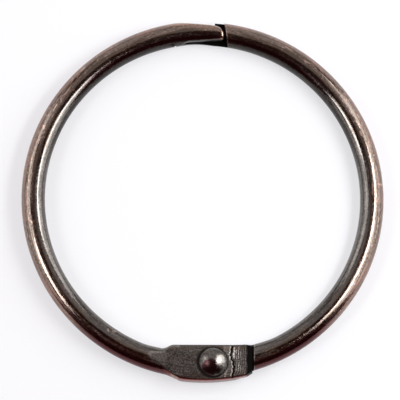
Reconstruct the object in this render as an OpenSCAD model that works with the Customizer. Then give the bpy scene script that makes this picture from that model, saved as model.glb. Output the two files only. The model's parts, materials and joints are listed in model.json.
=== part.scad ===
// A hinged snap ring: two half rings of round wire, riveted together at the bottom
// and closing at the top with a hooked half lap. It lies flat with its front face up:
// the ring's centre is on the Z axis and the surface that it lies on is Z = 0.

/* [Ring] */
// Outer diameter of the closed ring
ring_d = 50; // [44:0.5:65]
// Diameter of the wire
wire_d = 3.25; // [3:0.05:3.6]
// How much nearer the centre the right half is bent than the left one
spring_in = 0.15; // [0:0.05:0.25]

/* [Hinge lugs] */
// How far the rivet stands to the right of the ring's centre line
pivot_x = 1.35; // [0:0.05:2]
// Reach of each lug from the rivet to its tip
lug_reach = 5.4; // [5.2:0.1:6.2]
// Reach of the front lug from the rivet back into its wire
front_neck = 6.4; // [6:0.1:7]
// Reach of the rear lug from the rivet back into its wire
rear_neck = 5.2; // [4.8:0.1:5.6]
// Width of a lug across the ring
lug_w = 4.9; // [4.4:0.1:5.4]
// How far the lugs' outer edge stands out past the wire
lug_out = 0.4; // [0.1:0.05:0.6]
// Thickness of one lug
lug_t = 1.4; // [1.2:0.05:1.5]
// Corner radius at a lug's tip
tip_corner_r = 1.15; // [0.8:0.05:1.5]
// Radius of a lug's outer shoulder, where it widens from the wire
shoulder_r = 2.3; // [1.5:0.1:2.4]
// Width of the rounding along a lug's edges
edge_w = 0.35; // [0.1:0.05:0.5]
// Width of the longer rounding at a lug's tip
tip_edge_w = 0.75; // [0.4:0.05:1]
// Height of the rounding on a lug's edges
edge_h = 0.55; // [0.2:0.05:0.8]
// Length over which the wire's face slopes down to the lug's face
slope_l = 2.6; // [1.5:0.1:4]
// Gap between the two lugs
lug_gap = 0.05; // [0.03:0.01:0.12]
// Gap between a lug's tip and the other half's shoulder
shoulder_gap = 0.2; // [0.15:0.05:0.4]

/* [Rivet] */
// Diameter of the rivet's shank
shank_d = 2.1; // [1.6:0.1:2.4]
// Radial play of the shank in the front lug
shank_play = 0.05; // [0.02:0.01:0.08]
// Diameter of the domed head
head_d = 3.85; // [3.2:0.05:4.4]
// Height of the domed head
head_h = 1.15; // [0.8:0.05:1.5]
// Height of the head's straight rim, below the dome
rim_h = 0.2; // [0.1:0.05:0.4]
// Gap under the head
head_gap = 0.04; // [0.02:0.01:0.1]
// Diameter of the peened tail on the back
tail_d = 3.1; // [2.8:0.1:3.8]
// Height of the peened tail
tail_h = 0.35; // [0.3:0.05:0.6]
// Bevel round the peened tail
tail_bevel = 0.15; // [0.05:0.05:0.25]

/* [Snap] */
// How far left of the centre line the left half's full section ends
lap_back = 3.9; // [3.5:0.1:4.5]
// Reach of the lap's nose past the centre line
nose_reach = 3.07; // [2.6:0.05:3.5]
// Angle by which the lap turns in from the ring's own curve
lap_tilt = 6; // [2:1:8]
// Depth of the outer flat at the centre line
outer_flat = 0.7; // [0.5:0.05:0.9]
// Depth of the lap's inner flat at the centre line
inner_flat = 0.3; // [0.1:0.05:0.5]
// Lean of the lap's inner flat
inner_draft = 15; // [0:1:20]
// Radius at which the lap's inner flat runs out into the wire
runout_r = 1.5; // [0.5:0.1:2]
// Where the outer flat ends on the tongue, past the centre line
tongue_flat_end = 1.6; // [1:0.1:2]
// Radius of the nose's outer corner
nose_r = 1.4; // [1:0.05:1.4]
// Radius of the nose's inner corner
nose_in_r = 0.4; // [0.2:0.05:0.5]
// Gap between the nose and the right half's shoulder
nose_gap = 0.4; // [0.2:0.05:0.5]
// Lean of the right half's shoulder
shoulder_lean = 8; // [0:1:12]
// Gap between the tongue's tip and the left half's shoulder
tongue_gap = 0.2; // [0.1:0.05:0.4]
// Length of the hook under the nose
nose_hook_l = 1.7; // [1:0.1:2.2]
// Length of the hook at the tongue's tip
tongue_hook_l = 1.1; // [0.8:0.1:1.6]
// How far each hook stands proud of its flat
hook_h = 0.22; // [0.1:0.02:0.3]
// Gap between the hooks' crests as they pass each other
hook_pass = 0.06; // [0.04:0.02:0.12]
// Radius of the hollow in the tongue's inner side
hollow_r = 10.3; // [8:0.1:14]
// Depth of that hollow
hollow_depth = 0.47; // [0.2:0.01:0.6]
// How far left of the centre line that hollow is deepest
hollow_back = 1.1; // [0:0.1:2]

/* [Hidden] */
$fn = 96;
arc_steps = 8; // points round each corner of a lug
edge_steps = 4; // layers in the rounding of a lug's edges

wire_r = wire_d / 2;
left_r = ring_d / 2 - wire_r; // centre line of the left half
right_r = left_r - spring_in; // centre line of the right half
past = ring_d; // a length that runs a cut well past the metal
half_past = past / 2;

// Heights are from the mid plane, where the two lugs meet. The rivet's tail touches Z = 0.
face_z = lug_gap / 2 + lug_t;
mid_z = face_z + tail_h;

// The lugs' outer edge follows the ring, and the rivet is in the middle of their width.
lug_outer_r = left_r + wire_r + lug_out;
pivot_y = lug_w / 2 - sqrt(pow(lug_outer_r, 2) - pow(pivot_x, 2));
tip_clear = lug_reach + shoulder_gap;

// The lap: its outer flat crosses the centre line at flat_y, and its inner one at inner_y.
flat_y = left_r + wire_r - outer_flat;
inner_y = left_r - wire_r + inner_flat;
nose_w = (flat_y - nose_reach * sin(lap_tilt) - inner_y) / cos(lap_tilt);
lap_z = hook_h + hook_pass / 2; // height of the lap's flat over the mid plane
hook_z = hook_pass / 2; // height of its hook's crest
tongue_tip = lap_back - tongue_gap;

// Angle of the point at x on a circle of radius r: at the ring's bottom, and at its top.
function bottom_angle(r, x) = 270 + asin(x / r);
function top_angle(r, x) = 90 - asin(x / r);

// Round wire bent to the radius r, anticlockwise from one angle to the other.
module bent_wire(r, from, to) {
    rotate([0, 0, from])
        rotate_extrude(angle = to - from)
            translate([r, 0])
                circle(d = wire_d);
}

// --- Hinge: a lug is drawn with the rivet at the origin, its tip towards +X, its layer
// above Z = 0. side is 1 for the left half, and -1 for the right half, which turns it over.

module at_pivot(side) {
    translate([pivot_x, pivot_y, 0])
        rotate([0, side > 0 ? 0 : 180, 0])
            children();
}

// Points of an arc from one angle to the other, without its last "short" points at each end.
function arc(centre, r, from, to, steps, short = 0) = [
    for (i = [short:steps - short])
        centre + r * [cos(from + (to - from) * i / steps), sin(from + (to - from) * i / steps)]
];

// Centre of a corner of radius r at x, touching the outer edge of radius outer_r round ring.
function outer_corner(ring, outer_r, r, x) =
    [x, ring[1] - sqrt(pow(outer_r - r, 2) - pow(x - ring[0], 2))];
function direction(from, to) = atan2(to[1] - from[1], to[0] - from[0]);

// Outline of a lug, anticlockwise, drawn in along its edges and by tip_in at its tip.
function lug_outline(side, neck, edge, tip_in) =
    let (
        ring = [-side * pivot_x, -pivot_y],
        outer_r = lug_outer_r - edge,
        tip_x = lug_reach - tip_in - tip_corner_r,
        inner_y = lug_w / 2 - edge - tip_corner_r,
        shoulder = outer_corner(ring, outer_r, shoulder_r, shoulder_r - neck),
        tip = outer_corner(ring, outer_r, tip_corner_r, tip_x),
        shoulder_turn = direction(ring, shoulder),
        tip_turn = direction(ring, tip)
    )
    concat(
        arc([tip_x, inner_y], tip_corner_r, 0, 90, arc_steps),
        arc([tip_corner_r - neck, inner_y], tip_corner_r, 90, 180, arc_steps),
        arc(shoulder, shoulder_r, -180, shoulder_turn, arc_steps),
        arc(ring, outer_r, shoulder_turn, tip_turn, 2 * arc_steps, 1),
        arc(tip, tip_corner_r, tip_turn, 0, arc_steps)
    );

// Height of a layer of the plate, and how far its outline is drawn in, from 0 to 1.
function edge_turn(i) = 90 * (i - 1) / edge_steps;
function layer_z(i) = i == 0 ? lug_gap / 2 : face_z - edge_h * (1 - sin(edge_turn(i)));
function drawn_in(i) = i == 0 ? 0 : 1 - cos(edge_turn(i));

// The pressed plate of a lug, lofted through outlines that draw in round its face.
module lug_plate(side, neck) {
    top = edge_steps + 1;
    outlines = [
        for (i = [0:top])
            lug_outline(side, neck, edge_w * drawn_in(i), tip_edge_w * drawn_in(i))
    ];
    n = len(outlines[0]);
    polyhedron(
        points = [for (i = [0:top]) for (p = outlines[i]) [p[0], p[1], layer_z(i)]],
        faces = concat(
            [[for (j = [0:n - 1]) j]],
            [[for (j = [n - 1:-1:0]) top * n + j]],
            [
                for (i = [0:top - 1])
                    for (j = [0:n - 1])
                        for (half = [0, 1])
                            let (next = (j + 1) % n)
                            half == 0
                                ? [i * n + j, (i + 1) * n + j, (i + 1) * n + next]
                                : [i * n + j, (i + 1) * n + next, i * n + next]
            ]
        )
    );
}

// What the press takes off the wire's face, down a slope to the lug's face.
module face_press(neck) {
    rotate([90, 0, 0])
        linear_extrude(past, center = true)
            polygon([
                [-neck - slope_l, wire_r],
                [-neck, face_z],
                [neck, face_z],
                [neck, past],
                [-neck - slope_l, past]
            ]);
}

// The room that a half leaves for the other half's lug, up to its own shoulder.
module lug_room() {
    translate([-tip_clear, -lug_w, -past])
        cube([past, 2 * lug_w, past + lug_gap / 2]);
}

// --- Snap: the lap's own frame has x along the outer flat towards the nose, y outwards.

module at_lap() {
    translate([0, flat_y, 0])
        rotate([0, 0, -lap_tilt])
            children();
}

// Plan of the lap with its rounded nose.
module nose_plan() {
    polygon([
        [-half_past, 0],
        [-half_past, -nose_w],
        [nose_reach - nose_in_r, -nose_w],
        [nose_reach, nose_in_r - nose_w],
        [nose_reach, -nose_r],
        [nose_reach - nose_r, 0]
    ]);
    translate([nose_reach - nose_r, -nose_r])
        circle(r = nose_r);
    translate([nose_reach - nose_in_r, nose_in_r - nose_w])
        circle(r = nose_in_r);
}

// Everything beyond the nose.
module past_nose() {
    at_lap()
        linear_extrude(past, center = true)
            difference() {
                translate([nose_reach - nose_r, -2 * wire_d])
                    square([half_past, half_past]);
                nose_plan();
            }
}

// Everything outside the outer flat, as far as end along it.
module outside_flat(end) {
    at_lap()
        translate([end - past, 0, -half_past])
            cube([past, half_past, past]);
}

// What is ground off the lap's inner side, with a round run-out into the wire.
module inside_flat() {
    start_x = runout_r - lap_back;
    lean = wire_d * tan(inner_draft);
    translate([start_x, inner_y - runout_r, 0])
        cylinder(h = wire_d, r1 = runout_r, r2 = runout_r + lean);
    translate([start_x, 0, 0])
        rotate([90, 0, 90])
            linear_extrude(half_past)
                polygon([
                    [inner_y - runout_r, 0],
                    [inner_y, 0],
                    [inner_y + lean, wire_d],
                    [inner_y - runout_r, wire_d]
                ]);
}

// The room under the lap: down to its hook, and higher behind that.
module under_lap() {
    translate([-lap_back, 0, -past])
        cube([past, past, past + hook_z]);
    translate([-lap_back, 0, -past])
        cube([lap_back + nose_reach - nose_hook_l, past, past + lap_z]);
}

// The room over the tongue: down to its hook, and deeper from there to the shoulder.
module over_tongue() {
    translate([-past, 0, -hook_z])
        cube([past, past, past]);
    difference() {
        translate([tongue_hook_l - tongue_tip, 0, -lap_z])
            cube([half_past, past, past]);
        translate([nose_reach + nose_gap, inner_y, -past])
            rotate([0, 0, shoulder_lean])
                translate([0, -half_past, 0])
                    cube([past, past, 2 * past]);
    }
}

// Everything beyond the tongue's tip.
module past_tongue() {
    translate([-tongue_tip - past, 0, -half_past])
        cube([past, past, past]);
}

// The hollow in the tongue's inner side.
module tongue_hollow() {
    translate([-hollow_back, right_r - wire_r + hollow_depth - hollow_r, -past])
        cylinder(h = past, r = hollow_r);
}

// --- The three pieces, drawn about the mid plane.

module left_half() {
    color("#4a3d3a")
        translate([0, 0, mid_z])
            difference() {
                union() {
                    bent_wire(left_r, top_angle(left_r, nose_reach + wire_r),
                              bottom_angle(left_r, -wire_r));
                    at_pivot(1) lug_plate(1, front_neck);
                }
                at_pivot(1) face_press(front_neck);
                at_pivot(1) lug_room();
                at_pivot(1) cylinder(h = past, r = shank_d / 2 + shank_play, center = true);
                outside_flat(half_past);
                inside_flat();
                past_nose();
                under_lap();
            }
}

module right_half() {
    color("#453b3a")
        translate([0, 0, mid_z])
            difference() {
                union() {
                    bent_wire(right_r, bottom_angle(right_r, pivot_x + wire_r) - 360,
                              top_angle(right_r, -lap_back));
                    at_pivot(-1) lug_plate(-1, rear_neck);
                }
                at_pivot(-1) face_press(rear_neck);
                at_pivot(-1) lug_room();
                at_pivot(-1) cylinder(h = past, d = shank_d, center = true);
                outside_flat(tongue_flat_end);
                over_tongue();
                past_tongue();
                tongue_hollow();
            }
}

module hinge_rivet() {
    head_r = head_d / 2;
    dome_h = head_h - rim_h;
    dome_r = (pow(head_r, 2) + pow(dome_h, 2)) / (2 * dome_h);
    head_z = face_z + head_gap;
    color("#6a6462")
        translate([pivot_x, pivot_y, mid_z]) {
            translate([0, 0, -face_z])
                cylinder(h = face_z + head_z + rim_h, d = shank_d);
            translate([0, 0, head_z])
                intersection() {
                    cylinder(h = head_h, d = head_d);
                    translate([0, 0, head_h - dome_r])
                        sphere(r = dome_r);
                }
            translate([0, 0, -mid_z])
                cylinder(h = tail_bevel, d1 = tail_d - 2 * tail_bevel, d2 = tail_d);
            translate([0, 0, tail_bevel - mid_z])
                cylinder(h = tail_h - tail_bevel, d = tail_d);
        }
}

left_half();
right_half();
hinge_rivet();
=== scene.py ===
# %% [markdown]
# # A hinged snap ring in antique copper
#
# The real ring is made from two lengths of drawn steel wire. Each is bent to half a circle. One
# end is pressed flat into a hinge lug and the other is ground to half its thickness, so that the
# two ends lap. A rivet joins the lugs. The whole ring is then plated with copper, blackened, and
# tumbled so that the copper shows again on what sticks out.
#
# We dress the frame's three solids: two half rings and a rivet. The frame says where everything
# is, so nothing is moved. Shapes are worked out in millimetres and set down in metres. Heights
# (z) are measured from the mid plane, where the two lugs meet, until a mesh is written.
#
# The steps: camera, soft shapes, hinge lugs, snap, wear with painted shade and highlights,
# forming the two halves, the rivet, the copper, and at last floor and light.

# %% The frame
import json

import bpy
import numpy as np
from mathutils import Matrix, Vector


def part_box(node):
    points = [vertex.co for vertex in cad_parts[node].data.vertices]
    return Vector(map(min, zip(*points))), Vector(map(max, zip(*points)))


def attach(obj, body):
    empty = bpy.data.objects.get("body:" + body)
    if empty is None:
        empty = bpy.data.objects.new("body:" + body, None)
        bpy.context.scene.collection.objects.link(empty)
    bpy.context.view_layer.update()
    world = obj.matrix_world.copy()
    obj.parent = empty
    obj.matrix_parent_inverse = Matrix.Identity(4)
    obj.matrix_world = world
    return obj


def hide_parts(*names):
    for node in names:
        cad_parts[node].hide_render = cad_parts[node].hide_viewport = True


MM = 0.001  # a millimetre in metres

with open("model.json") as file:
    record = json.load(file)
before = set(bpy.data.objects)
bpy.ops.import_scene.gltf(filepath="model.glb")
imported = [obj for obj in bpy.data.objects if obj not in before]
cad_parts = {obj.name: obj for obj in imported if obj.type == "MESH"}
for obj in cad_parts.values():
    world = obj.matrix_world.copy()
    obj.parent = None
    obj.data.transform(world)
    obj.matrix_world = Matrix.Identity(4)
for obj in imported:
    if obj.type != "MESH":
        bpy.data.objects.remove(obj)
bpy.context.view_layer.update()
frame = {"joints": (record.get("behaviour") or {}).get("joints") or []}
hinge = frame["joints"][0]

# %% Sizes that the frame gives
PIVOT = np.array(hinge["pos_m"]) / MM
MID_Z = PIVOT[2]  # height of the plane where the two lugs meet
left_low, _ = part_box("left_half")
WIRE_R = MID_Z - left_low.z / MM
LEFT_R = -left_low.x / MM - WIRE_R  # centre line of the left half
_, right_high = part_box("right_half")
RIGHT_R = right_high.x / MM - WIRE_R
LUG_OUTER_R = -left_low.y / MM
LUG_IN_Y = 2 * PIVOT[1] + np.sqrt(LUG_OUTER_R**2 - PIVOT[0] ** 2)
print(f"wire radius {WIRE_R:.3f} mm, centre lines {LEFT_R:.3f} and {RIGHT_R:.3f} mm")
print(f"lug from Y {LUG_IN_Y:.2f} mm out to a radius of {LUG_OUTER_R:.2f} mm")

# %% [markdown]
# ## Camera
#
# The ring is seen from nearly above, from a little towards the hinge. A long lens far away keeps
# its circle free of perspective. We build the camera's axes from its view direction and from the
# ring's own Y axis, which runs from the hinge to the snap.

# %% Camera
IMAGE_PX = 400
PX_MM = 0.1376  # size of a pixel at the ring
RING_CENTRE_PX = (203.1, 199.35)
CAMERA_AZIMUTH, CAMERA_ELEVATION = np.radians(-5.0), np.radians(79.4)
CAMERA_DISTANCE = 1.2
SENSOR_MM = 36

back = Vector((
    np.sin(CAMERA_AZIMUTH) * np.cos(CAMERA_ELEVATION),
    -np.cos(CAMERA_AZIMUTH) * np.cos(CAMERA_ELEVATION),
    np.sin(CAMERA_ELEVATION),
))
right = Vector((0, 1, 0)).cross(back).normalized()
up = back.cross(right)
aim_px = (IMAGE_PX / 2 - RING_CENTRE_PX[0], RING_CENTRE_PX[1] - IMAGE_PX / 2)
aim = (right * aim_px[0] + up * aim_px[1]) * PX_MM * MM
aim.z += MID_Z * MM

camera_data = bpy.data.cameras.new("camera")
camera_data.sensor_width = SENSOR_MM
camera_data.lens = SENSOR_MM * CAMERA_DISTANCE / (IMAGE_PX * PX_MM * MM)
camera = bpy.data.objects.new("camera", camera_data)
bpy.context.scene.collection.objects.link(camera)
turn = Matrix((right, up, back)).transposed().to_4x4()
camera.matrix_world = Matrix.Translation(aim + back * CAMERA_DISTANCE) @ turn
camera_data.clip_end = 10
bpy.context.scene.camera = camera
print(f"lens {camera_data.lens:.0f} mm at {CAMERA_DISTANCE} m")

# %% [markdown]
# ## Soft shapes
#
# Worn metal has no sharp edge. Each shape here is a function that says how far a point lies
# outside the metal, and is negative inside. Two such shapes are cut or joined with a round edge
# by the two helpers below. That gives the pressed neck its fillet and each ground edge its wear.

# %% Helpers that join and cut with round edges
def both(a, b, r):
    """What two shapes share, with the edge between them rounded to r."""
    round_part = np.hypot(np.maximum(a + r, 0), np.maximum(b + r, 0))
    return np.minimum(-r, np.maximum(a, b)) + round_part


def either(a, b, r):
    """Two shapes joined, with a fillet of radius r between them."""
    return -both(-a, -b, r)


def wire(x, y, z, ring_r):
    """Round wire bent to ring_r."""
    return np.hypot(np.hypot(x, y) - ring_r, z) - WIRE_R


# %% [markdown]
# ## The hinge lugs
#
# The press flattens the wire's end into a plate of half the wire's thickness, wider than the
# wire, with round corners. Its face carries what the press and the file left: a polished strip
# beside the rivet, a torn line where the tool slipped, and ridges from there to the tip.

# %% Sizes of the lugs
LUG_REACH = 5.4  # from the rivet to a lug's tip
FRONT_NECK, REAR_NECK = 6.4, 5.2  # from the rivet back into the wire
HALF_GAP = 0.025  # from the mid plane to a lug's inner face
FACE_Z = 1.425  # height of a lug's face over the mid plane
TIP_CORNER_R, NECK_CORNER_R = 1.15, 1.05  # seen from above: at the tip, and inside at the neck
SHOULDER_R = 2.3  # the outer corner at the neck
NECK_FILLET = 0.9
NECK_SPREAD = 0.11  # half of what the press widens the wire by, beside the lug
FACE_EDGE_R, TIP_EDGE_R, WORN_R = 0.38, 0.6, 0.07
SLOPE_L, SLOPE_EDGE_R = 2.6, 0.16  # the pressed slope from the wire down to the face
SPREAD_L = 3.5  # length of wire over which the press widens it
TIP_CLEAR = LUG_REACH + 0.2


def smooth(a, b, t):
    """0 before a, 1 after b, and a smooth step between."""
    s = np.clip((t - a) / (b - a), 0, 1)
    return s * s * (3 - 2 * s)


# %% Relief of the front lug's face
RIDGE_PITCH, RIDGE_H = 0.3, 0.026
RIDGE_LEAN = 0.3  # how far the ridges lean towards the tip at the outer edge
# The torn line from the outer edge to the inner one: y of each point, then its x.
TORN_LINE = ([-25.4, -24.8, -24.2, -23.7, -23.0, -22.4, -21.9, -21.3, -20.8, -20.4],
             [3.95, 4.02, 4.16, 4.22, 4.14, 3.88, 3.76, 3.9, 3.93, 3.98])
TEAR_DEPTH, TEAR_W = 0.2, 0.12
TEAR_STEP = 0.03  # the face lies this much lower beyond the tear
LIP_H, LIP_W, LIP_OFF = 0.11, 0.1, 0.32  # metal turned up beside the tear
SCRATCH_DEPTH, SCRATCH_W, SCRATCH_L = 0.035, 0.05, 1.1
SCRATCH_STARTS = ((-2.35, -20.95), (-2.0, -20.95), (-1.7, -21.0), (-2.6, -21.2))
SCRATCH_RUN = (0.5, 0.87)  # a scratch's direction: to the right and towards the outer edge


def bump(offset, width):
    """A bell of height 1 round an offset of 0."""
    return np.exp(-((offset / width) ** 2))


def face_relief(x, y):
    """Height of the front lug's face over its plane, in mm."""
    torn_x = np.interp(y, *TORN_LINE) + 0.05 * np.sin(9 * y) + 0.03 * np.sin(23 * y + 1)
    past_tear = x - torn_x
    lean = RIDGE_LEAN * smooth(-23.9, -25.2, y)
    phase = (x + lean * (6.6 - x) + 0.03 * np.sin(3.1 * y)) / RIDGE_PITCH
    ridges = 0.5 - 0.5 * np.cos(2 * np.pi * phase)
    ridged = smooth(0.1, 0.5, past_tear) * smooth(6.3, 5.9, x)
    height = -RIDGE_H * ridged * ridges
    height -= TEAR_STEP * smooth(-1.2, -0.9, past_tear)
    height -= TEAR_DEPTH * bump(past_tear, TEAR_W)
    lip = smooth(-22.5, -22.1, y) * smooth(-20.7, -20.95, y)
    height += LIP_H * lip * bump(past_tear - LIP_OFF, LIP_W)
    run_x, run_y = SCRATCH_RUN
    for start_x, start_y in SCRATCH_STARTS:
        along = (x - start_x) * run_x + (start_y - y) * run_y
        across = (x - start_x) * run_y - (start_y - y) * run_x
        ends = smooth(0, 0.2, along) * smooth(SCRATCH_L, 0.7, along)
        height -= SCRATCH_DEPTH * bump(across, SCRATCH_W) * ends
    return height


print("the tear crosses the face at x", np.interp(PIVOT[1], *TORN_LINE).round(2), "mm")


# %% A half ring's hinge end
def hinge_end(x, y, z, ring_r, side, neck, relief):
    """A half ring at the hinge. side is 1 for the front lug, and -1 for the rear one."""
    along, up_ = side * (x - PIVOT[0]), side * z
    inner, outer = y - LUG_IN_Y, np.hypot(x, y) - LUG_OUTER_R
    tip, back_end = along - LUG_REACH, -neck - along
    plan = np.maximum(both(inner, tip, TIP_CORNER_R), both(outer, tip, TIP_CORNER_R))
    plan = np.maximum(plan, both(inner, back_end, NECK_CORNER_R))
    plan = np.maximum(plan, both(outer, back_end, SHOULDER_R))
    top = up_ - FACE_Z - relief
    lug = np.maximum(both(plan, top, FACE_EDGE_R), both(tip, top, TIP_EDGE_R))
    lug = both(lug, HALF_GAP - up_, WORN_R)
    spread = NECK_SPREAD * smooth(-neck - SPREAD_L, -neck, along)
    body = either(wire(x, y, z, ring_r - spread) - spread, lug, NECK_FILLET)
    slope = np.maximum(-neck - along, 0) * (WIRE_R - FACE_Z) / SLOPE_L
    body = both(body, up_ - FACE_Z - relief - slope, SLOPE_EDGE_R)
    room = np.minimum(HALF_GAP - up_, along + TIP_CLEAR)
    return both(body, room, WORN_R)


# %% [markdown]
# ## The snap
#
# At the top the left half's nose laps over the right half's tongue. Both are ground: an outer
# flat runs across them, and each has a flat where they meet, with a small hook at its end. The
# nose ends in a round corner against the right half's shoulder.

# %% Sizes of the snap
LAP_BACK, NOSE_REACH, LAP_TILT = 3.9, 3.07, np.radians(6)
FLAT_Y = LEFT_R + WIRE_R - 0.62  # the outer flat on the centre line
INNER_Y = LEFT_R - WIRE_R + 0.3  # the lap's inner flat on the centre line
INNER_DRAFT, INNER_RISE = np.radians(4), 0.045
BURR, BURR_H, BURR_W = (-4.2, 21.45, 0.5), 0.16, 0.28  # lip where the grinding wheel ran out
NOSE_R, NOSE_IN_R, RUNOUT_R = 1.5, 0.45, 2.2
FLAT_EDGE_R, NOSE_ROUND_R = 0.2, 0.4  # the lap's edges, and the softer ones at its nose
NOSE_GAP, SHOULDER_LEAN = 0.24, np.radians(8)
TONGUE_FLAT_END, TONGUE_TIP = 1.6, LAP_BACK - 0.2
NOSE_HOOK_X, TONGUE_HOOK_X = NOSE_REACH - 1.7, 1.1 - TONGUE_TIP
HOOK_Z, LAP_Z = 0.03, 0.25  # heights of a hook's crest and of its flat
HOLLOW_R, HOLLOW_DEPTH, HOLLOW_X = 10.3, 0.27, -1.1


def lap_axes(x, y):
    """Distance along the outer flat towards the nose, and height over that flat."""
    along = x * np.cos(LAP_TILT) - (y - FLAT_Y) * np.sin(LAP_TILT)
    over = x * np.sin(LAP_TILT) + (y - FLAT_Y) * np.cos(LAP_TILT)
    return along, over


def past_shoulder(x, y):
    """Distance to the right of the right half's leaning shoulder."""
    from_x = x - NOSE_REACH - NOSE_GAP
    return from_x * np.cos(SHOULDER_LEAN) + (y - INNER_Y) * np.sin(SHOULDER_LEAN)


# %% The two halves' snap ends
def nose_end(x, y, z):
    """The left half at the snap."""
    along, over = lap_axes(x, y)
    end = along - NOSE_REACH
    inner_y = INNER_Y + INNER_RISE * np.minimum(x, 2.4)
    inner_flat = (inner_y + z * np.tan(INNER_DRAFT) - y) * np.cos(INNER_DRAFT)
    ground = -both(-LAP_BACK - x, -inner_flat, RUNOUT_R)
    plan = both(over, end, NOSE_R)
    plan = np.maximum(plan, np.where(x > 0, both(inner_y - y, end, NOSE_IN_R), -1))
    edge_r = FLAT_EDGE_R + (NOSE_ROUND_R - FLAT_EDGE_R) * smooth(0.8, 2.2, x)
    body = both(wire(x, y, z, LEFT_R), plan, edge_r)
    body = both(body, np.where(z > 0, ground, -1), WORN_R)
    from_burr = np.hypot(np.hypot(x - BURR[0], y - BURR[1]), z - BURR[2])
    body = body - BURR_H * bump(from_burr, BURR_W)
    under = np.minimum(HOOK_Z - z, x + LAP_BACK)
    deeper = np.minimum(np.minimum(LAP_Z - z, x + LAP_BACK), NOSE_HOOK_X - x)
    return both(body, np.maximum(under, deeper), WORN_R)


def tongue_end(x, y, z):
    """The right half at the snap."""
    along, over = lap_axes(x, y)
    hollow_y = RIGHT_R - WIRE_R + HOLLOW_DEPTH - HOLLOW_R
    hollow = np.where(z < 0, HOLLOW_R - np.hypot(x - HOLLOW_X, y - hollow_y), -1)
    body = both(wire(x, y, z, RIGHT_R), np.minimum(over, TONGUE_FLAT_END - along), WORN_R)
    body = both(body, hollow, WORN_R)
    body = both(body, -TONGUE_TIP - x, 0.1)
    left_of_shoulder = -past_shoulder(x, y)
    above = np.minimum(z + HOOK_Z, left_of_shoulder)
    deeper = np.minimum(np.minimum(z + LAP_Z, left_of_shoulder), x - TONGUE_HOOK_X)
    return both(body, np.maximum(above, deeper), WORN_R)


# %% The two halves as shapes
def left_shape(x, y, z):
    low_end = hinge_end(x, y, z, LEFT_R, 1, FRONT_NECK, face_relief(x, y))
    return np.where(y < 0, low_end, nose_end(x, y, z))


def right_shape(x, y, z):
    low_end = hinge_end(x, y, z, RIGHT_R, -1, REAR_NECK, 0.0)
    return np.where(y < 0, low_end, tongue_end(x, y, z))

# %% [markdown]
# ## What the press, the bath and the tumbling did where, and where shade is painted
#
# The press smoothed the lugs' faces. Tumbling rubbed the rims, the nose and the flats pale, and
# painted highlights add to that on the nose's end, the torn lip and the step beside the lug's
# tip. Painted shade makes the grooves, a line round the rivet's head, the lug's tip and the parts
# under the other half near-black. Heat reddened the copper on the lug's outer wall. Each point
# of a half gets four amounts from 0 to 1: pressed, painted shade, wear with painted highlights,
# and reddened. The copper reads them later.

# %% Pressed faces
def pressed(x, y, z, side, neck, relief):
    """1 on a lug's face and the slope behind it, 0 on the round wire."""
    along, up_ = side * (x - PIVOT[0]), side * z
    slope = np.maximum(-neck - along, 0) * (WIRE_R - FACE_Z) / SLOPE_L
    on_face = smooth(0.12, 0.03, FACE_Z + relief + slope - up_)
    return on_face * smooth(-neck - SLOPE_L, -neck - SLOPE_L + 0.7, along) * (y < 0)


# %% Finish of the left half, with its painted shade and highlights
RIVET_SHADE_R = 2.08  # radius of the painted shadow line round the rivet's head
TIP_SHADE_X = 5.8  # where the painted shade on the lug's tip starts


def left_sheltered(x, y, z, relief):
    """Painted shade: black in the grooves, a shadow line round the rivet's head, and the lug's
    tip.
    """
    from_rivet = np.hypot(x - PIVOT[0] + 0.05, y - PIVOT[1])
    # The painted shadow line round the rivet's head widens at the lower left.
    left_below = smooth(0.8, -1.6, x - PIVOT[0] + 0.6 * (y - PIVOT[1]))
    groove = smooth(-0.075, -0.11, relief) + 0.5 * smooth(-0.033, -0.056, relief)
    groove = groove + bump(from_rivet - RIVET_SHADE_R, 0.13 + 0.15 * left_below)
    at_tip = smooth(TIP_SHADE_X, TIP_SHADE_X + 0.25, x + 0.04 * np.sin(3 * y))
    return np.clip(np.maximum(groove * (z > 1), at_tip) * (y < 0), 0, 1)


def left_worn(x, y, z, relief, on_face):
    """The polished strip, the neck's line, the lug's rims, the torn lip, and the nose.

    They are pale from wear, with a painted glint on the lip and a painted highlight on the nose's
    end.
    """
    strip = smooth(2.7, 3.0, x) * smooth(4.05, 3.75, x) * smooth(-25.0, -24.6, y)
    strip = np.maximum(strip, 0.8 * smooth(0.25, 0.1, np.abs(x - 3.0 - 0.6 * (y + 24))) * (x > 1))
    neck_line = 4 * on_face * (1 - on_face) * smooth(-3.0, -3.4, x) * smooth(-8.6, -8.0, x)
    radius = np.hypot(x, y)
    neck_line = neck_line * (radius < LEFT_R)
    past_wall = radius - LUG_OUTER_R
    rim = bump(past_wall + 0.2, 0.1) * smooth(1.2, 1.3, z)
    low_rim = bump(z - 0.55, 0.14) * smooth(-0.15, -0.05, past_wall)
    rims = np.maximum(0.6 * rim, 0.5 * low_rim) * smooth(-3.0, 0.5, x) * smooth(6.2, 5.6, x)
    # The torn lip is pale from wear and from a painted glint.
    lip = smooth(0.04, 0.07, relief)
    at_lug = np.maximum.reduce([0.4 * strip * on_face, neck_line, rims, lip])

    along, over = lap_axes(x, y)
    # The nose's end gets a painted highlight along with its wear.
    at_nose = 0.65 * smooth(NOSE_REACH - 0.7, NOSE_REACH - 0.25, along) * (z > 0.2)
    on_flat = smooth(-1.1, -0.2, over) * smooth(-6.5, -4.5, along)
    return np.clip(np.where(y < 0, at_lug, np.maximum(at_nose, 0.6 * on_flat)), 0, 1)


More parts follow.
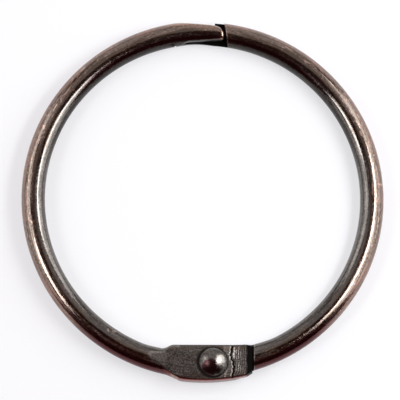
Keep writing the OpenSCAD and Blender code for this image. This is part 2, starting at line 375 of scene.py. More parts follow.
def left_reddened(x, y, on_face, worn):
    """The lug's outer wall, and a paler patch where the wall starts at the neck."""
    radius = np.hypot(x, y)
    wall = smooth(-0.35, -0.12, radius - LUG_OUTER_R) * (1 - on_face) * (x > -4)
    patch = smooth(1.1, 1.35, radius - LEFT_R) * smooth(-5.4, -4.8, x) * smooth(-3.2, -3.8, x)
    reddened = np.maximum(wall * (1 - patch), 0.5 * patch * (1 - on_face))
    return np.clip(reddened * (y < 0) * (x < 6.2) * (1 - worn), 0, 1)


def left_finish_and_painted_light(x, y, z):
    """How far each point is pressed, in painted shade, pale from wear and painted highlights, and
    reddened.
    """
    relief = face_relief(x, y)
    on_face = pressed(x, y, z, 1, FRONT_NECK, relief)
    worn = left_worn(x, y, z, relief, on_face)
    return on_face, left_sheltered(x, y, z, relief), worn, left_reddened(x, y, on_face, worn)


# %% Finish of the right half, with its painted shade and highlights
def right_finish_and_painted_light(x, y, z):
    """The same for the right half. Its rear lug and its tongue lie under the left half and get
    painted shade. The step beside the front lug's tip gets a painted glint, and the shoulder's
    rim a pale line of wear and painted highlight.
    """
    step = x - PIVOT[0] - TIP_CLEAR
    on_rear_lug = smooth(0.0, -0.1, step) * smooth(-0.6, -0.3, z)
    past = past_shoulder(x, y)
    on_tongue = smooth(0.05, -0.05, past) * smooth(-0.6, -0.25, z)
    # The shoulder's rim: a pale line of wear and painted highlight.
    at_rim = smooth(0.28, 0.1, past) * (past > 0.0)
    # A painted glint on the step beside the front lug's tip.
    at_step = smooth(0.2, 0.05, step) * (step > 0) * smooth(-24.4, -23.9, y)
    wall = smooth(-0.35, -0.12, np.hypot(x, y) - LUG_OUTER_R) * (np.abs(x) < 3.8) * (y < 0)
    return (pressed(x, y, z, -1, REAR_NECK, 0.0), np.where(y < 0, on_rear_lug, on_tongue),
            0.5 * np.where(y < 0, at_step, at_rim * (z > 0.8)), wall)


# %% [markdown]
# ## From a straight blank to a formed half
#
# Each half starts as the wire does: a straight cylinder. It is divided into rings of points in
# edit mode. A ring is then carried to its station on the bend, and its points are pushed out
# from the core until they meet the shape's surface. Stations crowd together at the lug, at the
# lap and close to each step, where two of them stand on the step's two sides.

# %% Stations along a half ring
STEP_GAP = 0.003  # how far from a step its two stations stand
CROWDING = 0.85  # how strongly a zone's stations crowd at its two ends, from 0 to 1


def ring_angle(x, ring_r, top):
    """Angle round the ring, in radians, at which its centre line has this x."""
    return np.pi / 2 - np.arcsin(x / ring_r) if top else -np.pi / 2 + np.arcsin(x / ring_r)


def stations(zones):
    """All stations, zone by zone: angle, direction across, core height and core shift."""
    rows = []
    for start, end, count in zones:
        t = np.linspace(0, 1, count)
        t = t - CROWDING * np.sin(2 * np.pi * t) / (2 * np.pi)
        rows.append(np.array(start) + np.outer(t, np.array(end) - np.array(start)))
    return np.concatenate(rows)


# %% The blank
SIDES = 176
PASSES = (19, 19)  # cuts of each subdivision, which give 20 x 20 lengths of blank
RINGS = (PASSES[0] + 1) * (PASSES[1] + 1) + 1


def deselect_all():
    """Clears the selection, so that the next operator acts on its own object alone."""
    bpy.ops.object.select_all(action="DESELECT")


def add_blank(name):
    """A straight cylinder with RINGS rings of SIDES points, closed at both ends."""
    deselect_all()
    bpy.ops.mesh.primitive_cylinder_add(vertices=SIDES, radius=WIRE_R, depth=1)
    blank = bpy.context.object
    blank.name = blank.data.name = name
    bpy.ops.object.mode_set(mode="EDIT")
    bpy.ops.mesh.select_mode(type="EDGE")
    for cuts in PASSES:
        bpy.ops.mesh.select_all(action="DESELECT")
        bpy.ops.object.mode_set(mode="OBJECT")
        points = np.empty((len(blank.data.vertices), 3))
        blank.data.vertices.foreach_get("co", points.ravel())
        ends = np.empty((len(blank.data.edges), 2), int)
        blank.data.edges.foreach_get("vertices", ends.ravel())
        long_edges = np.abs(points[ends[:, 0], 2] - points[ends[:, 1], 2]) > 1e-6
        blank.data.edges.foreach_set("select", long_edges)
        bpy.ops.object.mode_set(mode="EDIT")
        bpy.ops.mesh.subdivide(number_cuts=cuts)
    bpy.ops.object.mode_set(mode="OBJECT")
    return blank


# %% Finding the surface
BISECTIONS = 26
SEARCH_R = 4.5  # mm, further than any point of a section lies from its core


def to_surface(shape, start, direction):
    """How far each start can go along its direction before it leaves the metal."""
    low, high = np.zeros(len(start)), np.full(len(start), SEARCH_R)
    for _ in range(BISECTIONS):
        middle = (low + high) / 2
        outside = shape(*(start + direction * middle[:, None]).T) > 0
        high = np.where(outside, middle, high)
        low = np.where(outside, low, middle)
    return low


def sections(shape, ring_r, rows):
    """Middle, direction across, half width and half height of the metal at each station."""
    angle, across_angle, core, shift = rows.T
    places = np.stack([ring_r * np.cos(angle), ring_r * np.sin(angle), core], axis=1)
    across = np.stack([np.cos(across_angle), np.sin(across_angle), 0 * angle], axis=1)
    places = places + across * shift[:, None]
    above = np.tile([0.0, 0.0, 1.0], (RINGS, 1))
    for _ in range(2):  # the second time starts from the middle that the first one found
        out, in_ = to_surface(shape, places, across), to_surface(shape, places, -across)
        places = places + across * ((out - in_) / 2)[:, None]
    half_w = (out + in_) / 2
    half_h = (to_surface(shape, places, above) + to_surface(shape, places, -above)) / 2
    return places, across, half_w, half_h


# %% Painted shade on the side towards the hinge
# Surfaces that face the side towards the hinge get painted shade: maroon on the outer
# flank, and nearly black on the inner one.
FINISHES_AND_PAINTED_LIGHT = ("pressed", "sheltered", "worn", "reddened", "lee")
DEEP_SHADE = 0.62  # how strongly the inner flank on that side is painted near-black


def painted_hinge_side_shade(direction, inner_side, height):
    """How much maroon painted shade each point gets, and how much near-black painted shade."""
    facing = np.hypot(direction[:, 0], direction[:, 1])
    south = -direction[:, 1] / facing
    lee = smooth(0.6, 0.83, south) * smooth(1.57, 1.42, height)
    deep = inner_side * smooth(0.1, 0.4, south) * smooth(1.3, 0.95, height)
    return lee * (1 - deep), DEEP_SHADE * deep


# %% Forming a blank
def store(blank, name, values, kind="FLOAT", field="value"):
    """Stores one value for each point, for the copper to read."""
    layer = blank.data.attributes.new(name, kind, "POINT")
    layer.data.foreach_set(field, values.astype(float).ravel())


def form(blank, shape, finish_and_painted_light, ring_r, rows):
    """Moves the blank's points to the surface of the shape, station by station.

    Returns each station's angle in degrees and its distance along the wire in mm.
    """
    assert len(rows) == RINGS, f"{len(rows)} stations for {RINGS} rings"
    points = np.empty((len(blank.data.vertices), 3))
    blank.data.vertices.foreach_get("co", points.ravel())
    ring = np.rint((points[:, 2] + 0.5) * (RINGS - 1)).astype(int)
    turn_ = np.arctan2(points[:, 1], points[:, 0])

    places, across, half_w, half_h = sections(shape, ring_r, rows)
    above = np.tile([0.0, 0.0, 1.0], (RINGS, 1))
    direction = (across * half_w[:, None])[ring] * np.cos(turn_)[:, None]
    direction = direction + (above * half_h[:, None])[ring] * np.sin(turn_)[:, None]
    direction /= np.linalg.norm(direction, axis=1)[:, None]
    reach = to_surface(shape, places[ring], direction)
    formed = places[ring] + direction * reach[:, None]

    steps = np.linalg.norm(np.diff(places, axis=0), axis=1)
    along = np.concatenate([[0], np.cumsum(steps)])
    outward = (direction * reach[:, None] * across[ring]).sum(1)
    drawn = np.stack([along[ring], outward, formed[:, 2]], axis=1)

    inner_side = (direction * across[ring]).sum(1) < 0
    lee, deep_shade = painted_hinge_side_shade(direction, inner_side, formed[:, 2])
    finishes_and_painted_light = [*finish_and_painted_light(*formed.T), lee]
    finishes_and_painted_light[1] = np.maximum(finishes_and_painted_light[1], deep_shade)
    for name, amount in zip(FINISHES_AND_PAINTED_LIGHT, finishes_and_painted_light):
        store(blank, name, amount)
    formed[:, 2] += MID_Z
    blank.data.vertices.foreach_set("co", (formed * MM).ravel())
    store(blank, "drawn_wire", drawn, "FLOAT_VECTOR", "vector")
    blank.data.update()
    print(f"{blank.name}: {along[-1]:.1f} mm of wire, {len(blank.data.vertices)} points")
    return np.degrees(rows[:, 0]) % 360, along


# %% Finishing a formed half
CAP_INSET = 0.03  # mm, a narrow border that keeps an end face flat beside the round side
SHARP_ANGLE = np.radians(50)


def finish_mesh(piece):
    """Insets the end faces, points all faces outward and shades the round parts smooth."""
    deselect_all()
    piece.select_set(True)
    bpy.context.view_layer.objects.active = piece
    for face in piece.data.polygons:
        face.select = len(face.vertices) > 4
    bpy.ops.object.mode_set(mode="EDIT")
    bpy.ops.mesh.select_mode(type="FACE")
    bpy.ops.mesh.inset(thickness=CAP_INSET * MM, use_even_offset=False)
    bpy.ops.mesh.select_all(action="SELECT")
    bpy.ops.mesh.normals_make_consistent(inside=False)
    bpy.ops.object.mode_set(mode="OBJECT")
    bpy.ops.object.shade_smooth_by_angle(angle=SHARP_ANGLE)
    bpy.ops.object.modifier_add(type="WEIGHTED_NORMAL")
    piece.modifiers[-1].keep_sharp = True
    bpy.ops.object.modifier_apply(modifier=piece.modifiers[-1].name)


# %% The left half's stations
QUARTER = np.pi / 2
TIP_X = PIVOT[0] + LUG_REACH
FRONT_STEP_X, REAR_STEP_X = PIVOT[0] + TIP_CLEAR, PIVOT[0] - TIP_CLEAR


def at_hinge(x, ring_r, core, gap=0.0):
    """A station across the lugs, which stands along the frame's Y axis."""
    return ring_angle(x + gap, ring_r, False), -QUARTER, core, 0.0


def on_wire(degrees):
    """A station square to the bent wire."""
    return np.radians(degrees), np.radians(degrees), 0.0, 0.0


def at_snap(x, ring_r, lean, core, gap=0.0, shift=0.0, turns=0):
    """A station across the snap, leaning to the left by lean."""
    return (ring_angle(x + gap, ring_r, True) + 2 * np.pi * turns,
            QUARTER + lean + 2 * np.pi * turns, core, shift)


def on_lap(along, ring_r):
    """Where the centre line comes this far along the outer flat."""
    centre_y = np.sqrt(ring_r**2 - along**2)
    return along / np.cos(LAP_TILT) + (centre_y - FLAT_Y) * np.tan(LAP_TILT)


NOSE_X = on_lap(NOSE_REACH, LEFT_R)
LEFT_ZONES = [
    (at_hinge(TIP_X, LEFT_R, 0.42, -STEP_GAP), at_hinge(4.9, LEFT_R, 0.7), 40),
    (at_hinge(4.87, LEFT_R, 0.7), at_hinge(2.6, LEFT_R, 0.7), 45),
    (at_hinge(2.55, LEFT_R, 0.7), at_hinge(REAR_STEP_X, LEFT_R, 0.7, STEP_GAP), 62),
    (at_hinge(REAR_STEP_X, LEFT_R, 0.45, -STEP_GAP), at_hinge(-6.2, LEFT_R, 0.35), 36),
    (at_hinge(-6.25, LEFT_R, 0.35), on_wire(-116), 26),
    (on_wire(-116.3), on_wire(-248), 92),
    (on_wire(-248.2), at_snap(-LAP_BACK, LEFT_R, 0, 0.0, -STEP_GAP, turns=-1), 26),
    (at_snap(-LAP_BACK, LEFT_R, 0, 0.85, STEP_GAP, turns=-1),
     at_snap(NOSE_HOOK_X, LEFT_R, 0, 0.85, -STEP_GAP, turns=-1), 38),
    (at_snap(NOSE_HOOK_X, LEFT_R, 0, 0.8, STEP_GAP, turns=-1),
     at_snap(NOSE_X, LEFT_R, -LAP_TILT, 0.8, -2 * STEP_GAP, shift=-0.67, turns=-1), 36),
]

# %% The left half, formed
left_ring = add_blank("left_half_ring")
left_way = form(left_ring, left_shape, left_finish_and_painted_light, LEFT_R, stations(LEFT_ZONES))
finish_mesh(left_ring)

# %% The right half's stations
# Where the centre line meets the leaning shoulder.
SHOULDER_X = NOSE_REACH + NOSE_GAP - (RIGHT_R * 0.99 - INNER_Y) * np.tan(SHOULDER_LEAN)
FLAT_END_X = on_lap(TONGUE_FLAT_END, RIGHT_R)
RIGHT_ZONES = [
    (at_hinge(PIVOT[0] - LUG_REACH, RIGHT_R, -0.42, STEP_GAP), at_hinge(-2.4, RIGHT_R, -0.7), 36),
    (at_hinge(-2.35, RIGHT_R, -0.7), at_hinge(FRONT_STEP_X, RIGHT_R, -0.7, -STEP_GAP), 70),
    (at_hinge(FRONT_STEP_X, RIGHT_R, 0.0, STEP_GAP), at_hinge(7.9, RIGHT_R, 0.0), 30),
    (at_hinge(7.95, RIGHT_R, 0.0), on_wire(-62), 24),
    (on_wire(-61.7), on_wire(68), 110),
    (on_wire(68.2), at_snap(SHOULDER_X, RIGHT_R, SHOULDER_LEAN, 0.0, STEP_GAP), 34),
    (at_snap(SHOULDER_X, RIGHT_R, SHOULDER_LEAN, -0.85, -STEP_GAP),
     at_snap(FLAT_END_X, RIGHT_R, -LAP_TILT, -0.85, STEP_GAP), 28),
    (at_snap(FLAT_END_X, RIGHT_R, -LAP_TILT, -0.85, -STEP_GAP),
     at_snap(TONGUE_HOOK_X, RIGHT_R, 0, -0.85, STEP_GAP), 41),
    (at_snap(TONGUE_HOOK_X, RIGHT_R, 0, -0.8, -STEP_GAP),
     at_snap(-TONGUE_TIP, RIGHT_R, 0, -0.8, 2 * STEP_GAP), 28),
]

# %% The right half, formed
right_ring = add_blank("right_half_ring")
right_way = form(right_ring, right_shape, right_finish_and_painted_light, RIGHT_R, stations(RIGHT_ZONES))
finish_mesh(right_ring)

# %% [markdown]
# ## The rivet
#
# The rivet is a turned pin whose head was domed by a press and whose tail was peened flat. We
# turn it as a lathe would: a disc is drawn up along the axis and scaled at each step.

# %% Profile of the rivet
rivet_low, rivet_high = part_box("hinge_rivet")
HEAD_R = (rivet_high.x - rivet_low.x) / MM / 2
HEAD_TOP = rivet_high.z / MM - MID_Z
HEAD_FOOT = FACE_Z + 0.04  # the head stands just clear of the lug's face
RIM_H = 0.2  # its straight rim, below the dome
SHANK_R, TAIL_R, TAIL_BEVEL = 1.05, 1.55, 0.15
RIVET_EDGE = 0.04  # how far its edges are rubbed back
DOME_STEPS = 18
LATHE_SIDES = 96

dome_h = HEAD_TOP - HEAD_FOOT - RIM_H
dome_r = (HEAD_R**2 + dome_h**2) / (2 * dome_h)
slopes = np.linspace(np.arcsin(HEAD_R / dome_r), 0.05, DOME_STEPS)
# Each point is a radius and a height, from the tail up to the top of the dome.
PROFILE = [(TAIL_R - TAIL_BEVEL, -MID_Z),
           (TAIL_R - RIVET_EDGE, TAIL_BEVEL - RIVET_EDGE - MID_Z),
           (TAIL_R, TAIL_BEVEL - MID_Z), (TAIL_R, -FACE_Z - 0.02), (SHANK_R, -FACE_Z),
           (SHANK_R, HEAD_FOOT), (HEAD_R - 0.06, HEAD_FOOT), (HEAD_R, HEAD_FOOT + 0.06),
           (HEAD_R, HEAD_FOOT + RIM_H - 0.05)]
PROFILE += [(dome_r * np.sin(a), HEAD_TOP - dome_r * (1 - np.cos(a))) for a in slopes]

# %% The rivet, turned
deselect_all()
bpy.ops.mesh.primitive_circle_add(
    vertices=LATHE_SIDES, radius=PROFILE[0][0] * MM, fill_type="NGON",
    location=(PIVOT[0] * MM, PIVOT[1] * MM, (PROFILE[0][1] + MID_Z) * MM))
rivet = bpy.context.object
rivet.name = rivet.data.name = "hinge_rivet_domed"
bpy.ops.object.mode_set(mode="EDIT")
bpy.ops.mesh.select_mode(type="FACE")
bpy.ops.mesh.select_all(action="SELECT")
axis_point = (PIVOT[0] * MM, PIVOT[1] * MM, 0)
for (old_r, old_z), (new_r, new_z) in zip(PROFILE, PROFILE[1:]):
    bpy.ops.mesh.extrude_region_move(
        TRANSFORM_OT_translate={"value": (0, 0, (new_z - old_z) * MM)})
    scale = new_r / old_r
    bpy.ops.transform.resize(value=(scale, scale, 1), center_override=axis_point)
bpy.ops.mesh.select_all(action="SELECT")
bpy.ops.mesh.normals_make_consistent(inside=False)
bpy.ops.object.mode_set(mode="OBJECT")
bpy.ops.object.shade_smooth_by_angle(angle=np.radians(40))
bpy.ops.object.transform_apply(location=True, rotation=True, scale=True)
print("rivet:", len(rivet.data.polygons), "faces, top at", round(HEAD_TOP + MID_Z, 3), "mm")

# %% [markdown]
# ## Antique copper
#
# The steel is plated with copper, then blackened in a bath that turns the copper's skin to a
# grey-brown sulphide. Tumbling rubs that skin away again where the ring touches its neighbours,
# so the outer flank shines pink and the inner flank stays grey. To the eye it is a dark metal
# whose reflections change colour round the wire, broken up along its length by drawing lines.
#
# A flat pattern wrapped on the wire would stretch at the lugs. This one is worked out from the
# drawn_wire attribute instead, which knows where on the wire each point lies in millimetres:
# along it, across it towards the outside, and up.
#
# The skin is built up as the ring was made: bath, tumbling, blows, press, wear. Painted shade
# and painted highlights are mixed in among these steps. Each step is one mix of two colours,
# and a later step covers the ones before it.

# %% Colours
def linear(hex_colour):
    """An sRGB hex colour as linear red, green, blue and alpha."""
    srgb = np.array([int(hex_colour[i:i + 2], 16) / 255 for i in (1, 3, 5)])
    rgb = np.where(srgb <= 0.04045, srgb / 12.92, ((srgb + 0.055) / 1.055) ** 2.4)
    return (*rgb, 1.0)


SULPHIDE = linear("#5b5855")  # blackened skin
POLISHED = linear("#797470")  # the same skin, burnished by the tumbling
BRONZED = linear("#62554b")  # thinner skin on top of the wire
RUBBED = linear("#867a73")  # skin rubbed thin on the outer side
RELIEVED = linear("#967a6f")  # copper showing through
BARE_COPPER = linear("#bfa598")  # a fleck or scratch down to the plating, and a painted highlight line on the right wire
WEAR_AND_GLINT_PALE = linear("#a49f9a")  # pale edges from wear, and painted highlights on edges and on the rivet's right side
SNAP_WEAR_AND_GLINT = linear("#b89a89")  # the same at the snap, down to the copper, with a painted highlight on the nose's end
HINGE_SIDE_SHADE_MAROON = linear("#4a2229")  # painted shade, maroon, on the side towards the hinge
COPPER_RED = linear("#74302a")  # copper that heat has reddened beside the press
FACE_DARK, FACE_PALE = linear("#44413e"), linear("#787370")  # the pressed face
FACE_BROWN = linear("#5c4e43")
PAINTED_SHADE_BLACK = linear("#131110")  # painted shade, near-black, in grooves and gaps and under the other half


# %% A helper that adds one node
def add_node(material, kind, links=(), **settings):
    """Adds a node, sets its properties and its unlinked inputs, and links the rest."""
    node = material.node_tree.nodes.new(kind)
    for name, value in settings.items():
        if hasattr(node, name):
            setattr(node, name, value)
        else:
            node.inputs[int(name[2:]) if name.startswith("in") else name].default_value = value
    for socket, source in dict(links).items():
        material.node_tree.links.new(source, node.inputs[socket])
    return node.outputs


# %% Small steps that the metal's patterns are made of
def grain(material, place, per_mm, detail=3.0):
    """Noise with per_mm grains to the millimetre along, across and up the wire."""
    scaled = add_node(material, "ShaderNodeVectorMath", {0: place}, operation="MULTIPLY",
                      in1=per_mm)[0]
    return add_node(material, "ShaderNodeTexNoise", {"Vector": scaled},
                    Scale=1.0, Detail=detail, Roughness=0.6)["Fac"]


def ramp(material, value, low, high, to_low=0.0, to_high=1.0):
    """A smooth step from to_low to to_high as the value goes from low to high."""
    if low > high:
        low, high, to_low, to_high = high, low, to_high, to_low
    return add_node(material, "ShaderNodeMapRange", {"Value": value},
                    interpolation_type="SMOOTHSTEP",
                    in1=low, in2=high, in3=to_low, in4=to_high)["Result"]


def maths(material, operation, a, b):
    """One sum of two values, either of which may be a plain number."""
    links = {i: v for i, v in ((0, a), (1, b)) if not isinstance(v, (int, float))}
    numbers = {f"in{i}": float(v) for i, v in ((0, a), (1, b)) if isinstance(v, (int, float))}
    return add_node(material, "ShaderNodeMath", links, operation=operation, **numbers)[0]


def blend(material, amount, first, second):
    """Mixes two colours, either of which may be a fixed one."""
    links, settings = {0: amount}, {}
    for socket, colour in ((6, first), (7, second)):
        if isinstance(colour, tuple):
            settings[f"in{socket}"] = colour
        else:
            links[socket] = colour
    return add_node(material, "ShaderNodeMix", links, data_type="RGBA", **settings)[2]


def attribute(material, name, output="Fac"):
    """What a half's points have stored under this name."""
    return add_node(material, "ShaderNodeAttribute", attribute_name=name)[output]


# %% Scratches and spots that blows left, and a painted highlight line
def one_mark(material, along, across, way, spot):
    """1 within one mark. A spot has ring angle, across, length, width (mm) and lean."""
    ring_degrees, at_across, length, width, lean = spot
    angles, distances = way
    order = np.argsort(angles)
    at_along = float(np.interp(ring_degrees, angles[order], distances[order]))
    off_along = maths(material, "SUBTRACT", along, at_along)
    middle = maths(material, "MULTIPLY_ADD", off_along, lean)
    middle.node.inputs[2].default_value = at_across
    off_across = maths(material, "SUBTRACT", across, middle)
    near = maths(material, "ABSOLUTE", off_along, 0)
    beside = maths(material, "ABSOLUTE", off_across, 0)
    return maths(material, "MULTIPLY", ramp(material, near, 0.65 * length, 0.35 * length),
                 ramp(material, beside, 0.75 * width, 0.3 * width))


def all_marks(material, along, across, way, spots):
    """1 within any of the marks."""
    worst = 0.0
    for spot in spots:
        worst = maths(material, "MAXIMUM", worst, one_mark(material, along, across, way, spot))
    return worst


# %% Marks on each half
# Ring angle in degrees, place across the wire, length and width in mm, and lean.
LEFT_SPOTS = [
    (132.8, 1.05, 0.9, 0.26, 0.10), (135.4, 0.85, 0.8, 0.22, 0.35), (137.6, 1.05, 0.5, 0.2, 0.6),
    (139.3, 0.72, 1.0, 0.24, 0.25), (141.6, 0.5, 0.9, 0.2, 0.15), (143.6, 0.62, 0.8, 0.22, -0.3),
    (145.2, 0.45, 0.7, 0.2, 0.5), (148.5, 0.55, 1.1, 0.16, 0.1), (156.0, 0.62, 0.6, 0.34, 0.2),
    (157.8, 0.35, 0.4, 0.2, -0.5), (140.1, -0.12, 0.3, 0.26, 0.0), (188.6, 0.42, 0.6, 0.2, 0.5),
    (190.0, 0.28, 0.35, 0.2, -0.6), (201.0, 0.45, 0.6, 0.18, 0.2), (236.8, -1.05, 0.45, 0.3, 0.4),
    (234.9, -0.7, 0.4, 0.26, -0.6), (260.0, 1.75, 1.3, 1.1, 0.0),
]
RIGHT_SPOTS = [
    (50.5, 0.75, 1.1, 0.2, 0.1), (53.0, 0.6, 0.9, 0.18, -0.15), (47.5, 0.9, 0.8, 0.18, 0.2),
    (61.0, 0.8, 1.0, 0.16, 0.1), (30.5, 0.3, 0.6, 0.2, 0.1), (22.5, 0.25, 0.7, 0.22, 0.0),
    # The marks at 3.0 and -1.5 degrees are a painted highlight: a copper line along the right
    # wire's bright band.
    (4.6, 1.35, 0.25, 0.7, 0.0), (3.0, 0.08, 1.6, 0.2, 0.02), (-1.5, 0.1, 1.0, 0.18, 0.0),
]

# %% The skin that bath and tumbling left
DRAW_LINES = (0.3, 3.6, 3.6)  # grains to the mm: lines 3 mm long and 0.3 mm apart
CLOUDS = (0.12, 0.7, 0.7)  # rubbed places about 8 mm long
FLECKS = (1.6, 5.5, 5.5)  # bare spots about half a millimetre long
PITS = (3.0, 4.2, 4.2)  # pits of the blackening bath, 0.3 mm
CLOUD_PUSH, LINE_PUSH, PIT_PUSH = 1.4, 1.7, 0.8  # how far each moves the edge of a tone, in mm
HINGE_SIDE_SHADE_COVER, BARE_COVER = 0.88, 0.8  # how much the maroon painted shade, and a mark, hide what is under them


def tumbled_and_shaded_skin(material, outward, lines, clouds, pits, lee):
    """Grey inside, brown on top, rubbed and then copper outside, maroon painted shade at the
    hinge side.

    Also returns how far out a point lies, pushed about by clouds, drawing lines and pits.
    """
    flank = outward
    for pattern, push in ((clouds, CLOUD_PUSH), (lines, LINE_PUSH), (pits, PIT_PUSH)):
        flank = maths(material, "ADD", flank, maths(material, "MULTIPLY", pattern, push))
    streaked = maths(material, "ADD", lines, pits)
    skin = blend(material, ramp(material, streaked, 0.85, 1.2), SULPHIDE, POLISHED)
    skin = blend(material, ramp(material, flank, 1.45, 1.95), skin, BRONZED)
    thin = blend(material, ramp(material, streaked, 0.75, 1.05), BRONZED, RUBBED)
    skin = blend(material, ramp(material, flank, 2.05, 2.5), skin, thin)
    relieved = maths(material, "MULTIPLY", ramp(material, flank, 2.85, 3.45),
                     ramp(material, streaked, 0.75, 1.05, 0.35, 1.0))
    skin = blend(material, relieved, skin, RELIEVED)
    return blend(material, maths(material, "MULTIPLY", lee, HINGE_SIDE_SHADE_COVER), skin, HINGE_SIDE_SHADE_MAROON), flank


def marked_skin(material, skin, flank, flecks, lee, marks):
    """Copper bared by flecks, which the painted shade at the hinge side hides, and by the marks.

    Two of the right half's marks are a painted highlight line.
    """
    fleck = maths(material, "MULTIPLY", ramp(material, flecks, 0.64, 0.7),
                  ramp(material, flank, 1.6, 2.2))
    fleck = maths(material, "MULTIPLY", fleck, ramp(material, lee, 0.6, 0.1))
    bare = maths(material, "MULTIPLY", maths(material, "MAXIMUM", fleck, marks), BARE_COVER)
    return blend(material, bare, skin, BARE_COPPER)


# %% What press, heat and wear made of it, with painted highlights and painted shade
FACE_MOTTLE = (6.0, 6.0, 6.0)  # print of the press tool on a lug's face
SNAP_ALONG = 60.0  # mm along the wire, past which everything worn is at the snap


def worked_skin_with_painted_light(material, skin, place, along, clouds, pits):
    """The pressed face, the reddened wall, pale edges with painted highlights, and painted shade
    in the hollows.
    """
    mottle = grain(material, place, FACE_MOTTLE, detail=3.0)
    face = blend(material, ramp(material, mottle, 0.38, 0.62), FACE_DARK, FACE_PALE)
    face = blend(material, ramp(material, clouds, 0.5, 0.65, 0.0, 0.7), face, FACE_BROWN)
    skin = blend(material, attribute(material, "pressed"), skin, face)
    skin = blend(material, attribute(material, "reddened"), skin, COPPER_RED)
    edge = blend(material, ramp(material, along, SNAP_ALONG, SNAP_ALONG + 1), WEAR_AND_GLINT_PALE, SNAP_WEAR_AND_GLINT)
    worn = maths(material, "MULTIPLY", attribute(material, "worn"),
                 ramp(material, pits, 0.3, 0.55, 0.4, 1.0))
    skin = blend(material, worn, skin, edge)
    return blend(material, attribute(material, "sheltered"), skin, PAINTED_SHADE_BLACK)


# %% Antique copper on the drawn wire
BUMP_H, PIT_SHARE = 0.02, 0.6  # mm, and how deep pits are beside the lines


def new_metal(name):
    """An empty metal, its shader and nothing else set."""
    material = bpy.data.materials.new(name)
    material.use_nodes = True
    shader = material.node_tree.nodes["Principled BSDF"]
    shader.inputs["Metallic"].default_value = 1.0
    return material, shader


def roughen(material, shader, height, strength, depth):
    """Bump of a depth in mm from a pattern."""
    bumps = add_node(material, "ShaderNodeBump", {"Height": height}, Strength=strength,
                     Distance=depth * MM)["Normal"]
    material.node_tree.links.new(bumps, shader.inputs["Normal"])


def antique_copper(name, way, spots):
    material, shader = new_metal(name)
    place = attribute(material, "drawn_wire", "Vector")
    along, outward = add_node(material, "ShaderNodeSeparateXYZ", {0: place})[:2]
    lines = grain(material, place, DRAW_LINES)
    clouds = grain(material, place, CLOUDS)
    flecks = grain(material, place, FLECKS, detail=1.0)
    pits = grain(material, place, PITS, detail=4.0)
    lee = attribute(material, "lee")

    skin, flank = tumbled_and_shaded_skin(material, outward, lines, clouds, pits, lee)
    marks = all_marks(material, along, outward, way, spots)
    skin = marked_skin(material, skin, flank, flecks, lee, marks)
    skin = worked_skin_with_painted_light(material, skin, place, along, clouds, pits)
    material.node_tree.links.new(skin, shader.inputs["Base Color"])

    # The drawn wire is glossy. Pits, the press's print and the places with painted shade are
    # duller.
    rough = ramp(material, lines, 0.35, 0.7, 0.09, 0.2)
    rough = maths(material, "ADD", rough, ramp(material, pits, 0.4, 0.7, 0.0, 0.1))
    for where, more in (("pressed", 0.15), ("sheltered", 0.3)):
        duller = maths(material, "MULTIPLY", attribute(material, where), more)
        rough = maths(material, "ADD", rough, duller)
    material.node_tree.links.new(rough, shader.inputs["Roughness"])
    height = maths(material, "ADD", lines, maths(material, "MULTIPLY", pits, PIT_SHARE))
    roughen(material, shader, height, 0.3, BUMP_H)
    return material


left_copper = antique_copper("antique_copper_on_left_wire", left_way, LEFT_SPOTS)
right_copper = antique_copper("antique_copper_on_right_wire", right_way, RIGHT_SPOTS)
print(len(left_copper.node_tree.nodes), "nodes in the left half's copper")


# %% The rivet's copper
# A formed head is smooth but not drawn, so it has faint hammer marks in place of lines.
# Painted shade for the head's lower half, maroon and near-black.
RIVET_SHADE_MAROON, RIVET_SHADE_BLACK = linear("#3a1c20"), linear("#221f1e")
HAMMER_MARKS = 1 / (0.5 * MM)  # marks half a millimetre across
RIVET_PITS = 1 / (0.22 * MM)
SPOT_RAG = 0.9  # mm by which the hammer marks move a spot's edge in and out


def spot(material, x, y, noise, at_x, at_y, radius):
    """1 within a ragged spot on the head. Its place and radius are in mm."""
    off_x = maths(material, "SUBTRACT", x, at_x * MM)
    off_y = maths(material, "SUBTRACT", y, at_y * MM)
    squared = maths(material, "ADD", maths(material, "MULTIPLY", off_x, off_x),
                    maths(material, "MULTIPLY", off_y, off_y))
    away = maths(material, "POWER", squared, 0.5)
    away = maths(material, "ADD", away, maths(material, "MULTIPLY", noise, SPOT_RAG * MM))
    edge = (radius + SPOT_RAG / 2) * MM
    return ramp(material, away, edge + 0.15 * MM, edge - 0.25 * MM, 0.0, 0.9)


def headed_copper(name):
    material, shader = new_metal(name)
    place = add_node(material, "ShaderNodeTexCoord")["Object"]
    from_axis = add_node(material, "ShaderNodeVectorMath", {0: place}, operation="SUBTRACT",
                         in1=(PIVOT[0] * MM, PIVOT[1] * MM, 0.0))[0]
    x, y, _ = add_node(material, "ShaderNodeSeparateXYZ", {0: from_axis})[:3]
    marks = add_node(material, "ShaderNodeTexNoise", {"Vector": place},
                     Scale=HAMMER_MARKS, Detail=2.0)["Fac"]
    pits = add_node(material, "ShaderNodeTexNoise", {"Vector": place},
                    Scale=RIVET_PITS, Detail=4.0)["Fac"]
    skin = blend(material, ramp(material, pits, 0.42, 0.6), SULPHIDE, POLISHED)
    # Its right side is painted pale: a painted highlight.
    skin = blend(material, spot(material, x, y, marks, 1.0, 0.25, 0.7), skin, WEAR_AND_GLINT_PALE)
    # Below the middle, painted shade: maroon at the left and near-black at the right.
    skin = blend(material, spot(material, x, y, marks, -0.5, -0.85, 1.15), skin, RIVET_SHADE_MAROON)
    skin = blend(material, spot(material, x, y, marks, 0.62, -1.4, 0.35), skin, RIVET_SHADE_BLACK)
    material.node_tree.links.new(skin, shader.inputs["Base Color"])
    material.node_tree.links.new(ramp(material, pits, 0.35, 0.7, 0.32, 0.22),
                                 shader.inputs["Roughness"])
    height = maths(material, "ADD", marks, maths(material, "MULTIPLY", pits, 0.5))
    roughen(material, shader, height, 0.35, 0.05)
    return material


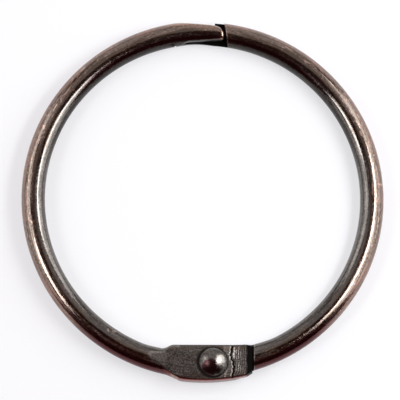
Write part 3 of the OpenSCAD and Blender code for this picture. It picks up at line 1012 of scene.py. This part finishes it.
rivet_copper = headed_copper("antique_copper_on_headed_rivet")
print(len(rivet_copper.node_tree.nodes), "nodes in the rivet's copper")

# %% Pieces on their bodies
for piece, copper, body, node, slot in (
        (left_ring, left_copper, "left_side", "left_half", "left_wire"),
        (right_ring, right_copper, "right_side", "right_half", "right_wire"),
        (rivet, rivet_copper, "right_side", "hinge_rivet", "rivet")):
    piece.data.materials.clear()
    piece.data.materials.append(copper)
    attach(piece, body)
    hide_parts(node)
    print(f"{piece.name} rides on {body}, {len(piece.data.polygons)} faces")

# %% [markdown]
# ## Floor and light
#
# The ring lies on a white board. Half of the board's white glows by itself, for the camera and
# for reflections alone, so that it stays white and the ring's shadow on it stays soft and pale.
#
# Round metal shows its lamps as lines along the wire. Two narrow strips draw the bright lines,
# wide boxes at their sides fill the grey bands next to them, and low ones light the flanks.

# %% Floor
FLOOR_GLOW = 0.57  # share of the floor's white that no shadow takes away
FLOOR_SIZE = 6  # m
BOARD, GLOW = linear("#eff1f5"), linear("#fbfbfe")

deselect_all()
bpy.ops.mesh.primitive_plane_add(size=FLOOR_SIZE)
floor = bpy.context.object
floor.name = "floor"
floor_material = bpy.data.materials.new("matt_white_board")
floor_material.use_nodes = True
floor_shader = floor_material.node_tree.nodes["Principled BSDF"]
floor_shader.inputs["Base Color"].default_value = BOARD
floor_shader.inputs["Roughness"].default_value = 0.9
ray = add_node(floor_material, "ShaderNodeLightPath")
seen = maths(floor_material, "MAXIMUM", ray["Is Camera Ray"], ray["Is Glossy Ray"])
seen = maths(floor_material, "MAXIMUM", seen, ray["Is Transmission Ray"])
seen = maths(floor_material, "MULTIPLY", seen, FLOOR_GLOW)
white = add_node(floor_material, "ShaderNodeEmission", Color=GLOW, Strength=1.0)[0]
board = add_node(floor_material, "ShaderNodeMixShader",
                 {0: seen, 1: floor_shader.outputs[0], 2: white})[0]
floor_material.node_tree.links.new(
    board, floor_material.node_tree.nodes["Material Output"].inputs["Surface"])
floor.data.materials.append(floor_material)


# %% A soft box
def softbox(name, start, end, breadth, radiance):
    """A soft box whose middle line runs from start to end (m), turned to face the ring."""
    start, end = Vector(start), Vector(end)
    middle, long_axis = (start + end) / 2, (end - start).normalized()
    away = (middle - long_axis * middle.dot(long_axis)).normalized()
    lamp = bpy.data.lights.new(name, "AREA")
    lamp.shape = "RECTANGLE"
    lamp.size, lamp.size_y = (end - start).length, breadth
    lamp.energy = radiance * np.pi * lamp.size * lamp.size_y
    holder = bpy.data.objects.new(name, lamp)
    axes = Matrix((long_axis, away.cross(long_axis), away)).transposed().to_4x4()
    holder.matrix_world = Matrix.Translation(middle) @ axes
    holder.visible_camera = False
    bpy.context.scene.collection.objects.link(holder)


# %% Lamps
# Name, the two ends of the middle line, breadth, and radiance against the floor's white.
LAMPS = [
    ("right_strip", (0.086, -0.049, 0.165), (0.145, 0.078, 0.165), 0.042, 10.0),
    ("right_middle", (0.116, -0.068, 0.118), (0.145, 0.16, 0.118), 0.085, 3.0),
    ("right_low", (0.47, -0.20, 0.11), (0.42, 0.42, 0.11), 0.20, 1.9),
    ("left_strip", (-0.31, -0.13, 0.46), (-0.45, -0.04, 0.46), 0.20, 9.0),
    ("left_middle", (-0.40, -0.06, 0.38), (-0.50, 0.42, 0.38), 0.30, 1.9),
    ("left_low", (-0.48, -0.25, 0.16), (-0.42, 0.42, 0.16), 0.28, 1.0),
    ("back_low", (0.42, 0.43, 0.09), (-0.42, 0.43, 0.09), 0.18, 0.5),
    ("back_soft", (0.32, 0.36, 0.42), (-0.32, 0.36, 0.42), 0.62, 0.6),
]
ROOM = (0.09, 0.035, 0.03, 1)  # a dim, warm room: what the wire mirrors between the lamps

for lamp in LAMPS:
    softbox(*lamp)
world = bpy.data.worlds.new("studio")
world.use_nodes = True
world.node_tree.nodes["Background"].inputs["Color"].default_value = ROOM
bpy.context.scene.world = world
bpy.context.scene.view_settings.view_transform = "Standard"
print(len(LAMPS), "lamps")
